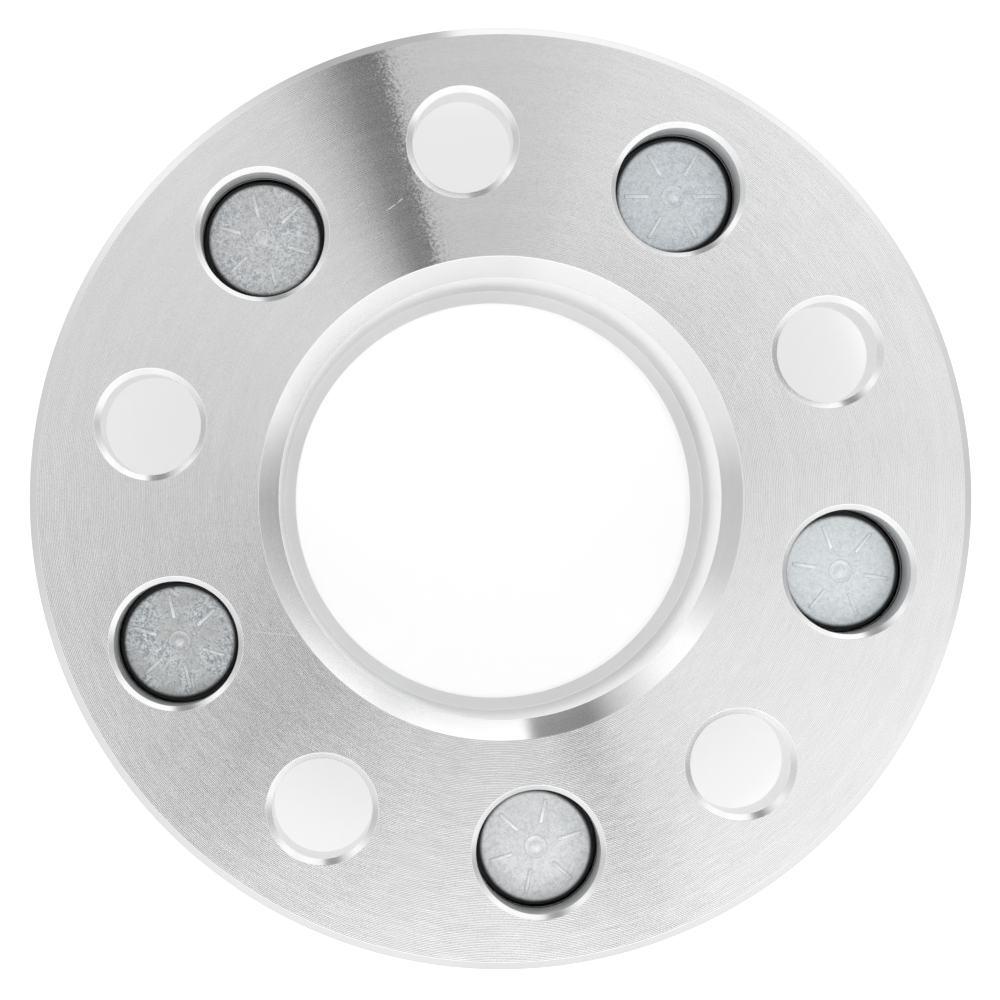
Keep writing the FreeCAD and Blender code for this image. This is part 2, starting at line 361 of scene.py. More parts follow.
first_bar = raised_bar()
bar_turns = [2 * math.pi * number / BAR_COUNT for number in range(BAR_COUNT)]
bars = [duplicate(first_bar, "bar", turn=turn) for turn in bar_turns]
bpy.data.objects.remove(first_bar)
mark_outline = [
    (MARK_RADIUS, HEAD_TOP - 0.1 * MM),
    (MARK_RADIUS, HEAD_TOP + 0.02 * MM),
    (MARK_RADIUS - 0.08 * MM, HEAD_TOP + 0.07 * MM),
    (MARK_RADIUS - 0.3 * MM, HEAD_TOP + 0.08 * MM),
    (MARK_RADIUS - 0.5 * MM, HEAD_TOP + 0.03 * MM),
    (DIMPLE_RADIUS, HEAD_TOP + 0.03 * MM),
    (DIMPLE_RADIUS - 0.25 * MM, HEAD_TOP + 0.09 * MM),
    (0.1 * MM, HEAD_TOP + 0.11 * MM),
]
mark = turned("mark", mark_outline, STEPS_ROUND_HOLE)
print("Bars:", len(bars), "on a head, each", round(BAR_HEIGHT / MM, 2), "mm high")

# %% The splines
SPLINE_COUNT = 36
SPLINE_DEPTH = 0.45 * MM
SPLINE_LEAD = 0.5 * MM
spline_outline = [
    (SPLINE_RADIUS - SPLINE_DEPTH, WHEEL_FACE),
    (SPLINE_RADIUS, WHEEL_FACE + SPLINE_LEAD),
    (SPLINE_RADIUS, SEAT + SPLINE_LEAD),
]
splines = turned("splines", spline_outline, 2 * SPLINE_COUNT)
for polygon in splines.data.polygons:
    polygon.select = False
for edge in splines.data.edges:
    edge.select = False
for vertex in splines.data.vertices:
    number = round(math.atan2(vertex.co.y, vertex.co.x) / math.pi * SPLINE_COUNT)
    vertex.select = number % 2 == 1 and vertex.co.xy.length > SPLINE_RADIUS - SPLINE_DEPTH / 2
bpy.ops.object.mode_set(mode="EDIT")
bpy.ops.mesh.select_mode(type="VERT")
root_share = (SPLINE_RADIUS - SPLINE_DEPTH) / SPLINE_RADIUS
bpy.ops.transform.resize(value=(root_share, root_share, 1), center_override=(0, 0, 0))
bpy.ops.object.mode_set(mode="OBJECT")
print("Splines:", SPLINE_COUNT, "round the shank")

# %% [markdown]
# ## The thread
#
# A Screw modifier winds the outline of one groove up the shank. Its pitch is 1.5 mm, as on
# fine threads of this diameter. The raw winding ends in a step, so it is bisected flat at
# both ends, and then trimmed by a turned form that has the tip's chamfer and the run-out.

# %% Wind the thread
THREAD_PITCH = 1.5 * MM
THREAD_DEPTH = 0.92 * MM
CREST_WIDTH = THREAD_PITCH / 8
THREAD_STEPS = 48
# Points closer than this are one point.
SAME_POINT = 0.001 * MM


def wound_thread():
    """The thread's outer skin, from below the tip to above the wheel face."""
    flank = THREAD_DEPTH * math.tan(math.radians(30))
    root = THREAD_PITCH - CREST_WIDTH - 2 * flank
    root_radius = THREAD_RADIUS - THREAD_DEPTH
    start = TIP - 2 * THREAD_PITCH
    select_only()
    bpy.ops.mesh.primitive_plane_add(size=1 * MM, location=(root_radius, 0, start))
    thread = bpy.context.object
    thread.name = thread.data.name = "thread"
    settle(thread)
    bpy.ops.object.mode_set(mode="EDIT")
    bpy.ops.mesh.select_all(action="SELECT")
    bpy.ops.mesh.merge(type="CENTER")
    groove = ((0, root), (THREAD_DEPTH, flank), (0, CREST_WIDTH), (-THREAD_DEPTH, flank))
    for across, rise in groove:
        bpy.ops.mesh.extrude_vertices_move(TRANSFORM_OT_translate={"value": (across, 0, rise)})
    bpy.ops.object.mode_set(mode="OBJECT")
    winding = thread.modifiers.new("winding", "SCREW")
    winding.axis = "Z"
    winding.screw_offset = THREAD_PITCH
    winding.iterations = math.ceil((WHEEL_FACE - TIP) / THREAD_PITCH) + 3
    winding.steps = winding.render_steps = THREAD_STEPS
    winding.use_merge_vertices = True
    winding.merge_threshold = SAME_POINT
    select_only(thread)
    bpy.ops.object.modifier_apply(modifier="winding")
    return thread


thread = wound_thread()
print("Raw winding:", len(thread.data.polygons), "faces")

# %% Trim the thread
TIP_CHAMFER = 1 * MM
NECK_LENGTH = 1.1 * MM
# The trimming form clears the thread's crests by this much.
TRIM_CLEARANCE = 0.01 * MM


def cut_flat(piece, height, keep_above):
    """Cuts a piece along a level plane, fills the cut and drops one side."""
    select_only(piece)
    bpy.ops.object.mode_set(mode="EDIT")
    bpy.ops.mesh.select_all(action="SELECT")
    bpy.ops.mesh.remove_doubles(threshold=SAME_POINT)
    bpy.ops.mesh.bisect(
        plane_co=(0, 0, height), plane_no=(0, 0, 1), use_fill=True,
        clear_inner=keep_above, clear_outer=not keep_above, threshold=SAME_POINT,
    )
    bpy.ops.mesh.select_all(action="SELECT")
    bpy.ops.mesh.normals_make_consistent(inside=False)
    bpy.ops.object.mode_set(mode="OBJECT")


cut_flat(thread, TIP, keep_above=True)
cut_flat(thread, WHEEL_FACE - NECK_LENGTH / 2, keep_above=False)
trim_outline = [
    (THREAD_RADIUS - 2 * TIP_CHAMFER, TIP - TIP_CHAMFER),
    (THREAD_RADIUS + TRIM_CLEARANCE, TIP + TIP_CHAMFER),
    (THREAD_RADIUS + TRIM_CLEARANCE, WHEEL_FACE - 2 * NECK_LENGTH),
    (THREAD_RADIUS - THREAD_DEPTH, WHEEL_FACE),
]
combine(thread, turned("trim", trim_outline, STEPS_ROUND_HOLE), "INTERSECT")
neck_outline = [
    (THREAD_RADIUS - THREAD_DEPTH / 2, WHEEL_FACE - NECK_LENGTH),
    (THREAD_RADIUS - THREAD_DEPTH / 2, WHEEL_FACE),
    (THREAD_RADIUS, WHEEL_FACE + SPLINE_LEAD),
]
neck = turned("neck", neck_outline, STEPS_ROUND_HOLE)
print("Thread:", len(thread.data.polygons), "faces")

# %% Join one stud and copy it to the holes
STUD_SMOOTH_BELOW = math.radians(18)
# How far each stud happened to be turned when it was pressed in, in degrees.
STUD_TURNS = [37.9, 36.9, 11.9, 44.9, 53.9]
stud_model = join("stud_model", [splines, thread, neck, mark] + bars + [head])
select_only(stud_model)
bpy.ops.object.shade_smooth_by_angle(angle=STUD_SMOOTH_BELOW)
studs = []
for number, (place, turn) in enumerate(zip(STUD_PLACES, STUD_TURNS), start=1):
    studs.append(duplicate(stud_model, f"forged_stud_{number}", place, math.radians(turn)))
bpy.data.objects.remove(stud_model)
print("Studs:", [stud.name for stud in studs], len(studs[0].data.polygons), "faces each")

# %% [markdown]
# ## Writing shader maths
#
# Patterns such as lathe marks are sums and products of coordinates. Written as Python
# expressions they are easy to read, so one small class wraps a node's output, and each
# operator adds the Math node that does it. Every other node comes from one method.


# %% A node tree that takes expressions
class Value:
    """One output of a node. Sums and products of Values are Values again."""

    def __init__(self, tree, socket):
        self.tree = tree
        self.socket = socket

    def output(self, name):
        return Value(self.tree, self.socket.node.outputs[name])

    def __add__(self, other):
        return self.tree.math("ADD", self, other)

    __radd__ = __add__

    def __sub__(self, other):
        return self.tree.math("SUBTRACT", self, other)

    def __rsub__(self, other):
        return self.tree.math("SUBTRACT", other, self)

    def __mul__(self, other):
        return self.tree.math("MULTIPLY", self, other)

    __rmul__ = __mul__


class Tree:
    """The nodes of a material or of the world."""

    def __init__(self, owner):
        owner.use_nodes = True
        self.nodes = owner.node_tree.nodes
        self.links = owner.node_tree.links

    def node(self, kind, settings=None, inputs=None):
        """Adds a node: first its settings, then the values or links of its sockets."""
        node = self.nodes.new("ShaderNode" + kind)
        for name, setting in (settings or {}).items():
            if name == "stops":
                self.set_stops(node.color_ramp, setting)
            else:
                setattr(node, name, setting)
        for name, value in (inputs or {}).items():
            self.put(node.inputs[name], value)
        return Value(self, node.outputs[0])

    def set_stops(self, ramp, stops):
        while len(ramp.elements) < len(stops):
            ramp.elements.new(1)
        for element, (position, grey) in zip(ramp.elements, stops):
            element.position = position
            element.color = (grey, grey, grey, 1)

    def put(self, socket, value):
        if isinstance(value, Value):
            self.links.new(value.socket, socket)
        else:
            socket.default_value = value

    def math(self, operation, *values):
        return self.node("Math", {"operation": operation}, dict(enumerate(values)))

    def vector(self, operation, *values):
        return self.node("VectorMath", {"operation": operation}, dict(enumerate(values)))

    def scaled(self, vector, amount):
        return self.node("VectorMath", {"operation": "SCALE"}, {"Vector": vector, "Scale": amount})

    def flat(self, vector):
        """The same vector without its height."""
        return self.vector("MULTIPLY", vector, (1, 1, 0))

    def length(self, vector):
        return self.vector("LENGTH", vector).output("Value")

    def dot(self, first, second):
        return self.vector("DOT_PRODUCT", first, second).output("Value")

    def height(self, vector):
        return self.node("SeparateXYZ", None, {"Vector": vector}).output("Z")

    def bearing(self, vector):
        """Where a vector points to, seen from above, in radians from +X."""
        parts = self.node("SeparateXYZ", None, {"Vector": vector})
        return self.math("ARCTAN2", parts.output("Y"), parts.output("X"))

    def place(self):
        """Where a point lies on its object. Every object sits at the frame's origin."""
        return self.node("TexCoord").output("Object")

    def smooth(self, value, start, end):
        """Rises softly from 0 to 1 as value goes from start to end."""
        ranges = {"Value": value, "From Min": start, "From Max": end}
        return self.node("MapRange", {"interpolation_type": "SMOOTHSTEP"}, ranges)

    def blend(self, share, first, second):
        """A colour between two colours."""
        mix = self.node("Mix", {"data_type": "RGBA"}, {0: share})
        node = mix.socket.node
        self.put(node.inputs[6], first)
        self.put(node.inputs[7], second)
        return Value(self, node.outputs[2])


def new_finish(name, metallic, roughness):
    """A material, its tree, and a place to put what the surface is made of."""
    material = bpy.data.materials.new(name)
    tree = Tree(material)
    surface = tree.nodes["Principled BSDF"]
    surface.inputs["Metallic"].default_value = metallic
    surface.inputs["Roughness"].default_value = roughness
    return material, tree, surface


def tinted(tint, share=1.0):
    """A colour with its alpha, darkened to a share."""
    return (*(channel * share for channel in tint), 1)


def grey(level):
    return (level, level, level, 1)


WHITE = grey(1)
print("Shader tools ready: Value, Tree, new_finish, tinted, grey")


# %% [markdown]
# ## Turned aluminium
#
# A lathe tool leaves one fine groove that winds round the axis. The grooves spread the
# light across themselves and hardly along themselves, so a flat turned face shows
# spokes of light and shade. Anisotropic gloss gives that spread. On top of it the normal
# leans to and fro from groove to groove, with a fine grain and uneven strokes between
# them. The lean follows the section: radially on a face, along the axis on a wall.

# %% Where the axis, the grooves and the studs are
def groove_directions(tree):
    """The place, the normal, and the direction that runs across the grooves."""
    place = tree.place()
    normal = tree.node("NewGeometry").output("Normal")
    around = tree.vector("NORMALIZE", tree.vector("CROSS_PRODUCT", (0, 0, 1), tree.flat(place)))
    across = tree.vector("NORMALIZE", tree.vector("CROSS_PRODUCT", normal, around))
    return place, normal, across


def distance_from_stud(tree, place):
    """How far a place is from the axis of the nearest stud, seen from above."""
    from_first = (tree.bearing(place) - STUD_ANGLES[0]) * (1 / PITCH_ANGLE)
    folded = (tree.math("FRACT", from_first + (COUNT + 0.5)) - 0.5) * PITCH_ANGLE
    radius = tree.length(tree.flat(place))
    along = radius * tree.math("COSINE", folded) - STUD_CIRCLE_RADIUS
    aside = radius * tree.math("SINE", folded)
    return tree.math("SQRT", along * along + aside * aside)


# %% Random values
def noise(tree, place, size, detail=3.0, roughness=0.55):
    """Smooth random values whose features are about this size."""
    settings = {"Vector": place, "Scale": 1 / size, "Detail": detail, "Roughness": roughness}
    return tree.node("TexNoise", None, settings)


def line_noise(tree, run, size, detail=2.0):
    """Random values that change along one number only."""
    settings = {"W": run * (1 / size), "Scale": 1.0, "Detail": detail}
    return tree.node("TexNoise", {"noise_dimensions": "1D"}, settings)


def stroke_noise(tree, place, run, size, turn):
    """Random values in fine lines round the axis, each about this turn long."""
    lengthwise = tree.bearing(place) * (1 / turn)
    spot = tree.node("CombineXYZ", None, {"X": run * (1 / size), "Y": lengthwise})
    settings = {"Vector": spot, "Scale": 1.0, "Detail": 2.0}
    return tree.node("TexNoise", {"noise_dimensions": "2D"}, settings)


print("Patterns ready: noise, line_noise, stroke_noise")

# %% Scratches
SCRATCH_WIDTH = 0.11 * MM
SCRATCH_CORE = 0.02 * MM
SCRATCH_LEAN = 0.32
# A scratch's side throws back the light from the bright side of the room.
LIGHT_SIDE = (0.25, 0.97, 0)
# The two ends of each scratch, in millimetres from the axis.
SCRATCHES = [
    ((-13.8, 47.5), (-10.6, 49.5)),
    ((-18.7, 48.2), (-16.8, 49.6)),
    ((-42.0, -17.0), (-34.9, -18.4)),
    ((-38.1, -33.6), (-32.4, -36.3)),
    ((-39.5, -32.0), (-37.3, -32.2)),
    ((39.2, 14.1), (44.0, 20.0)),
]


def scratch(tree, place, start, end):
    """1 on a thin line between two points of a level face."""
    first = Vector((*start, 0)) * MM
    reach = Vector((*end, 0)) * MM - first
    offset = tree.vector("SUBTRACT", tree.flat(place), tuple(first))
    share = tree.dot(offset, tuple(reach)) * (1 / reach.length_squared)
    share = tree.math("MINIMUM", tree.math("MAXIMUM", share, 0.0), 1.0)
    miss = tree.vector("SUBTRACT", offset, tree.scaled(tuple(reach), share))
    return 1 - tree.smooth(tree.length(miss), SCRATCH_CORE, SCRATCH_WIDTH)


def scratch_lean(tree, place, scratches):
    """How the scratches tip the normal, with gaps where the stroke skipped."""
    broken = tree.smooth(noise(tree, place, 1.2 * MM, 1.0), 0.35, 0.5)
    strokes = sum((scratch(tree, place, *ends) for ends in scratches), 0.0)
    return tree.scaled(LIGHT_SIDE, strokes * broken * SCRATCH_LEAN)


print("Scratches on the faces:", len(SCRATCHES))

# %% The turned finishes
ALUMINIUM = (0.92, 0.92, 0.925)
PALE_ALUMINIUM = (0.99, 0.99, 0.985)
ACROSS_THE_GROOVES = 0.25
# How much of a finish's lean comes from its grain, its grooves and its uneven strokes, and
# how much of it goes along the grooves.
FINE_SHARE = 0.58
GROOVE_SHARE = 0.34
UNEVEN_SHARE = 0.36
ALONG_SHARE = 0.03
# The uneven strokes are this much of a groove wide, and turn this far round the axis.
STROKE_SHARE = 0.45
STROKE_TURN = math.radians(4)
# Sizes of the patterns in the tone: bands, patches and specks.
DRIFT_SIZE = 2.5 * MM
PATCH_SIZE = 16 * MM
SPECK_SIZE = 0.35 * MM
DARK_TONE = 0.95


def turned_finish(name, pitch, lean, roughness, anisotropy, tint, scratches=()):
    """Aluminium with tool marks of this pitch, whose sides lean by this much."""
    material, tree, surface = new_finish(name, 1.0, roughness)
    place, normal, across = groove_directions(tree)
    along = tree.vector("CROSS_PRODUCT", normal, across)
    run = tree.dot(place, across)

    fine = tree.node("TexWhiteNoise", None, {"Vector": place}) - 0.5
    groove = tree.math("FRACT", run * (1 / pitch)) * 2 - 1
    uneven = stroke_noise(tree, place, run, pitch * STROKE_SHARE, STROKE_TURN) - 0.5
    speck = noise(tree, place, SPECK_SIZE, 1.0)
    tip = fine * (lean * FINE_SHARE) + groove * (lean * GROOVE_SHARE)
    tip = tip + uneven * (lean * UNEVEN_SHARE)
    leaning = tree.vector("ADD", normal, tree.scaled(across, tip))
    leaning = tree.vector("ADD", leaning, tree.scaled(along, (speck - 0.5) * (lean * ALONG_SHARE)))
    if scratches:
        leaning = tree.vector("ADD", leaning, scratch_lean(tree, place, scratches))
    tree.put(surface.inputs["Normal"], tree.vector("NORMALIZE", leaning))

    drift = line_noise(tree, run, DRIFT_SIZE, 1.0)
    patch = noise(tree, place, PATCH_SIZE, 1.0, 0.6)
    tone = tree.smooth(drift * 0.25 + patch * 0.4 + speck * 0.35, 0.3, 0.7)
    tree.put(surface.inputs["Base Color"], tree.blend(tone, tinted(tint, DARK_TONE), tinted(tint)))
    tree.put(surface.inputs["Roughness"], roughness * 0.9 + tone * (roughness * 0.2))
    surface.inputs["Anisotropic"].default_value = anisotropy
    surface.inputs["Anisotropic Rotation"].default_value = ACROSS_THE_GROOVES
    return material


face_finish = turned_finish("turned_face", 0.27 * MM, 0.24, 0.07, 1.0, ALUMINIUM, SCRATCHES)
edge_finish = turned_finish("turned_edge", 0.15 * MM, 0.03, 0.14, 0.6, ALUMINIUM)
cone_finish = turned_finish("lip_cone", 0.15 * MM, 0.10, 0.40, 0.2, PALE_ALUMINIUM)
for finish in (face_finish, edge_finish, cone_finish):
    print(finish.name, "has", len(finish.node_tree.nodes), "nodes")

# %% [markdown]
# ## Drilled and bored walls
#
# A hole's wall has fine rings round its own axis. All ten holes run along Z, so the rings
# only need the height. The narrow gap round a stud's head lies in deep shade and looks black
# in the photograph, so the counterbores get painted shade below the head's top, with a
# painted highlight line in it.


# %% The drilled finishes
WALL_ROUGHNESS = 0.22
WALL_DARK_TONE = 0.92
RING_SIZE = 0.12 * MM
RING_LEAN = 0.10
# The countersink leaves the chamfer a little crowned, so that it looks up more.
CROWN_LEAN = 0.10
# The colour of the painted shade in the gap round a head, the grey of the dull wall, and how much
# of the wall's metal is dulled.
GAP_SHADE_COLOUR = (0.10, 0.102, 0.105, 1)
DULL_GREY = grey(0.4)
DULL_SHARE = 0.75
# The thin light line in the gap round a head is a painted highlight ring at this height.
HIGHLIGHT_RING_HEIGHT = HEAD_TOP - 0.8 * MM


def gap_shade_colour(tree, height, patch, dull, clean):
    """The clean colour above a head's top, then a grey band, a painted highlight ring and the
    painted shade of the gap.
    """
    # Painted shade: the wall turns dark below the head's top, where the gap lies in shade.
    low = tree.smooth(height + patch * (0.3 * MM), HEAD_TOP + 1.1 * MM, HEAD_TOP + 0.5 * MM)
    # Painted highlight: a thin white ring on the dark wall of the gap.
    highlight_ring = tree.smooth(tree.math("ABSOLUTE", height - HIGHLIGHT_RING_HEIGHT), 0.7 * MM, 0.35 * MM)
    colour = tree.blend(low, tree.blend(dull * 0.2, clean, DULL_GREY), GAP_SHADE_COLOUR)
    return tree.blend(highlight_ring, colour, WHITE)


def drilled_finish(name, roughness, tint, gap_shade=False):
    """A drilled wall. With gap_shade it is dull, and painted black below the top of a stud's head,
    where the gap lies in shade.
    """
    material, tree, surface = new_finish(name, 1.0, roughness)
    place, normal, _ = groove_directions(tree)
    height = tree.height(place)
    rings = line_noise(tree, height, RING_SIZE) - 0.5
    patch = noise(tree, place, 4.5 * MM)
    crown = tree.smooth(height, HUB_FACE - 1.1 * MM, HUB_FACE - 0.8 * MM) * CROWN_LEAN
    lean = tree.scaled((0, 0, 1), rings * RING_LEAN + crown)
    tree.put(surface.inputs["Normal"], tree.vector("NORMALIZE", tree.vector("ADD", normal, lean)))
    tree.put(surface.inputs["Roughness"], roughness * 0.8 + patch * (roughness * 0.4))
    colour = tree.blend(patch, tinted(tint, WALL_DARK_TONE), tinted(tint))
    if gap_shade:
        chamfer_end = HUB_FACE - COUNTERBORE_CHAMFER
        dull = tree.smooth(height, chamfer_end, chamfer_end - 0.3 * MM)
        tree.put(surface.inputs["Metallic"], 1 - dull * DULL_SHARE)
        colour = gap_shade_colour(tree, height, patch, dull, colour)
    tree.put(surface.inputs["Base Color"], colour)
    return material


hole_finish = drilled_finish("drilled_wall", WALL_ROUGHNESS, ALUMINIUM)
recess_finish = drilled_finish("counterbore_wall", WALL_ROUGHNESS, ALUMINIUM, gap_shade=True)
print("Painted_gap_shade below", round((HEAD_TOP + 0.5 * MM) / MM, 2), "mm")

# %% Give each face of the plate its finish
NEAR = 0.01 * MM
CLEAR_REACH = NUT_POCKET_RADIUS + 1 * MM
RECESS_REACH = COUNTERBORE_RADIUS + 1.2 * MM
# The z of the normals of the level faces, and of the cone inside the lip.
LEVEL = 0.999
CONE_FROM, CONE_TO = 0.6, 0.8
FINISHES = [face_finish, edge_finish, cone_finish, hole_finish, recess_finish]


def finish_at(centre, normal):
    """Which finish a face of the plate has, from its place and its normal."""
    off_face = min(abs(centre.z - HUB_FACE), abs(centre.z - WHEEL_FACE))
    if off_face < NEAR and abs(normal.z) > LEVEL:
        return face_finish
    if any((centre.xy - place.xy).length < RECESS_REACH for place in STUD_PLACES):
        return recess_finish
    if any((centre.xy - place.xy).length < CLEAR_REACH for place in CLEAR_HOLE_PLACES):
        return hole_finish
    inside = centre.xy.length < HUB_BORE_RADIUS
    return cone_finish if inside and CONE_FROM < normal.z < CONE_TO else edge_finish


plate.data.materials.clear()
for finish in FINISHES:
    plate.data.materials.append(finish)
for polygon in plate.data.polygons:
    polygon.material_index = FINISHES.index(finish_at(polygon.center, polygon.normal))
for number, finish in enumerate(FINISHES):
    count = sum(polygon.material_index == number for polygon in plate.data.polygons)
    print(finish.name, "on", count, "faces")

# %% [markdown]
# ## Zinc-plated steel
#
# The heads keep the skin of the forging, and the zinc over it has a fine grain with pale
# and grey patches. The grain is coarser towards the rim, and the rim's rounded edge gets
# painted shade, as it sees the gap. No two studs have the same tone in the photograph, so
# each gets a finish of its own from one function, and two of them have a warm stain. The
# darker zinc of the first two studs is partly painted shade from their recesses.


# %% The plated finishes
GRAIN_SIZE = 0.26 * MM
CLUMP_SIZE = 0.75 * MM
CLOUD_SIZE = 5 * MM
GRAIN_DEPTH = 0.03 * MM
STAIN = (0.45, 0.44, 0.425, 1)
RIM_SHADE = (0.09, 0.093, 0.096, 1)
PLATED_ROUGHNESS = 0.40
STUD_TONES_AND_SHADE = [
    # light zinc, dark zinc (darker on the first two studs, partly painted shade), and how strong
    # the stain is
    ((0.90, 0.92, 0.93), (0.42, 0.445, 0.47), 0.35),
    ((0.86, 0.90, 0.92), (0.33, 0.35, 0.37), 0.65),
    ((0.84, 0.855, 0.86), (0.64, 0.66, 0.67), 0.0),
    ((0.87, 0.90, 0.91), (0.67, 0.73, 0.76), 0.05),
    ((0.84, 0.88, 0.905), (0.57, 0.625, 0.66), 0.15),
]


def zinc_colour(tree, place, radius, tone, warm, light, dark):
    """The zinc's tone and stain, painted shade round the head's rim, and paler on the tops of the
    bars.
    """
    height = tree.height(place)
    colour = tree.blend(tone, tinted(dark), tinted(light))
    colour = tree.blend(warm, colour, STAIN)
    # Painted shade: the head's rounded rim turns dark, as it sees the dark gap.
    shaded = tree.smooth(radius, HEAD_RADIUS - 1.1 * MM, HEAD_RADIUS - 0.2 * MM)
    in_recess = tree.smooth(height, WHEEL_FACE, WHEEL_FACE + 1 * MM)
    colour = tree.blend(shaded * in_recess, colour, RIM_SHADE)
    # The tops of the bars are blended towards white.
    bar_tops = tree.smooth(height, HEAD_TOP + 0.04 * MM, HEAD_TOP + 0.12 * MM)
    return tree.blend(bar_tops * 0.35, colour, WHITE)


def plated_finish(name, light, dark, stain, roughness=PLATED_ROUGHNESS):
    """Zinc between two tones, with clouds of a warm stain of this strength."""
    material, tree, surface = new_finish(name, 1.0, roughness)
    place = tree.place()
    radius = distance_from_stud(tree, place)
    grain = noise(tree, place, GRAIN_SIZE, 3.0, 0.7)
    clumps = noise(tree, place, CLUMP_SIZE, 3.0, 0.65)
    cloud = noise(tree, place, CLOUD_SIZE, 2.0)
    tone = tree.smooth(grain * 0.5 + clumps * 0.35 + cloud * 0.15, 0.38, 0.6)
    warm = tree.smooth(cloud * 0.7 + clumps * 0.3, 0.42, 0.62) * stain
    colour = zinc_colour(tree, place, radius, tone, warm, light, dark)
    tree.put(surface.inputs["Base Color"], colour)
    tree.put(surface.inputs["Roughness"], roughness * 1.12 - tone * (roughness * 0.24))
    coarse = tree.smooth(radius, 4 * MM, 9 * MM) * 0.8 + 0.4
    relief = (grain * 0.45 + clumps * 0.55) * coarse
    bump = tree.node("Bump", None, {"Strength": 1.0, "Distance": GRAIN_DEPTH, "Height": relief})
    tree.put(surface.inputs["Normal"], bump)
    return material


for number, (stud, tones) in enumerate(zip(studs, STUD_TONES_AND_SHADE), start=1):
    finish = plated_finish(f"zinc_plating_{number}", *tones)
    stud.data.materials.clear()
    stud.data.materials.append(finish)
    print(stud.name, "has", finish.name)

# %% [markdown]
# ## The camera
#
# The photograph looks straight down, but the frame was cut off-centre from a larger
# picture: the walls of the holes on the right show more than those on the left. A lens
# shift gives that. The camera stands left of the plate's axis and the shift brings the
# plate back to the middle.

# %% Stand the camera over the plate
CAMERA_HEIGHT = 440 * MM
CAMERA_TURN = math.radians(-6.1)
CAMERA_RIGHT = Vector((math.cos(CAMERA_TURN), math.sin(CAMERA_TURN), 0))
CAMERA_UP = Vector((-math.sin(CAMERA_TURN), math.cos(CAMERA_TURN), 0))
CAMERA_FOOT = -19.72 * MM * CAMERA_RIGHT - 5.06 * MM * CAMERA_UP
CAMERA_LENS = 98.75
CAMERA_SHIFT = (0.122, 0.030)
camera_data = bpy.data.cameras.new("camera")
camera_data.sensor_width = 36
camera_data.lens = CAMERA_LENS
camera_data.shift_x, camera_data.shift_y = CAMERA_SHIFT
camera = bpy.data.objects.new("camera", camera_data)
bpy.context.scene.collection.objects.link(camera)
camera.location = CAMERA_FOOT + Vector((0, 0, HUB_FACE + CAMERA_HEIGHT))
camera.rotation_euler = (0, 0, CAMERA_TURN)
bpy.context.scene.camera = camera
bpy.context.scene.view_settings.view_transform = "Standard"
print("Camera at", [round(value, 4) for value in camera.location], "m")

# %% [markdown]
# ## The photographer's table and lights
#
# The plate stands on the tips of its studs on a white table. A camera ray sees the table
# and the world as white, and so do rays that bounce off metal. The plain world gives the
# even soft light. What makes bare metal look like metal is what stands around it: a
# ring of white and grey cards, which only the reflections can see.


# %% The white table and the world
def seen_directly(tree):
    """1 for the rays that look at the table and the world, 0 for those that light."""
    path = tree.node("LightPath")
    seen = tree.math("MAXIMUM", path.output("Is Camera Ray"), path.output("Is Glossy Ray"))
    return tree.math("MAXIMUM", seen, path.output("Is Transmission Ray"))


TABLE_SIZE = 6.0
TABLE_GLOW = 0.67
# The table carries a painted shadow of the plate, so it shows a little greyer through the holes
# than beside the plate.
OPEN_TABLE = {"colour": grey(0.55), "glow": grey(1)}
PAINTED_PLATE_SHADOW = {"colour": grey(0.44), "glow": grey(0.81)}
LIGHT_LEVEL = 0.75
select_only()
bpy.ops.mesh.primitive_plane_add(size=TABLE_SIZE, location=(0, 0, TIP))
table = bpy.context.object
table.name = "table"
settle(table)
table_finish, tree, surface = new_finish("white_table", 0.0, 0.6)
radius = tree.length(tree.flat(tree.place()))
# Painted shadow: a ring of darker colour and glow on the table under the plate.
plate_shadow_mask = tree.smooth(radius, 38 * MM, 46 * MM) * tree.smooth(radius, 82 * MM, 70 * MM)
colour = tree.blend(plate_shadow_mask, OPEN_TABLE["colour"], PAINTED_PLATE_SHADOW["colour"])
glow = tree.blend(plate_shadow_mask, OPEN_TABLE["glow"], PAINTED_PLATE_SHADOW["glow"])
tree.put(surface.inputs["Base Color"], colour)
tree.put(surface.inputs["Emission Color"], glow)
tree.put(surface.inputs["Emission Strength"], seen_directly(tree) * TABLE_GLOW)
table.data.materials.append(table_finish)

world = bpy.data.worlds.new("white_room")
bpy.context.scene.world = world
tree = Tree(world)
background = tree.nodes["Background"]
background.inputs["Color"].default_value = WHITE
tree.put(background.inputs["Strength"], LIGHT_LEVEL + seen_directly(tree) * (1 - LIGHT_LEVEL))
print("Table at", round(TIP / MM, 2), "mm, world lights with", LIGHT_LEVEL)

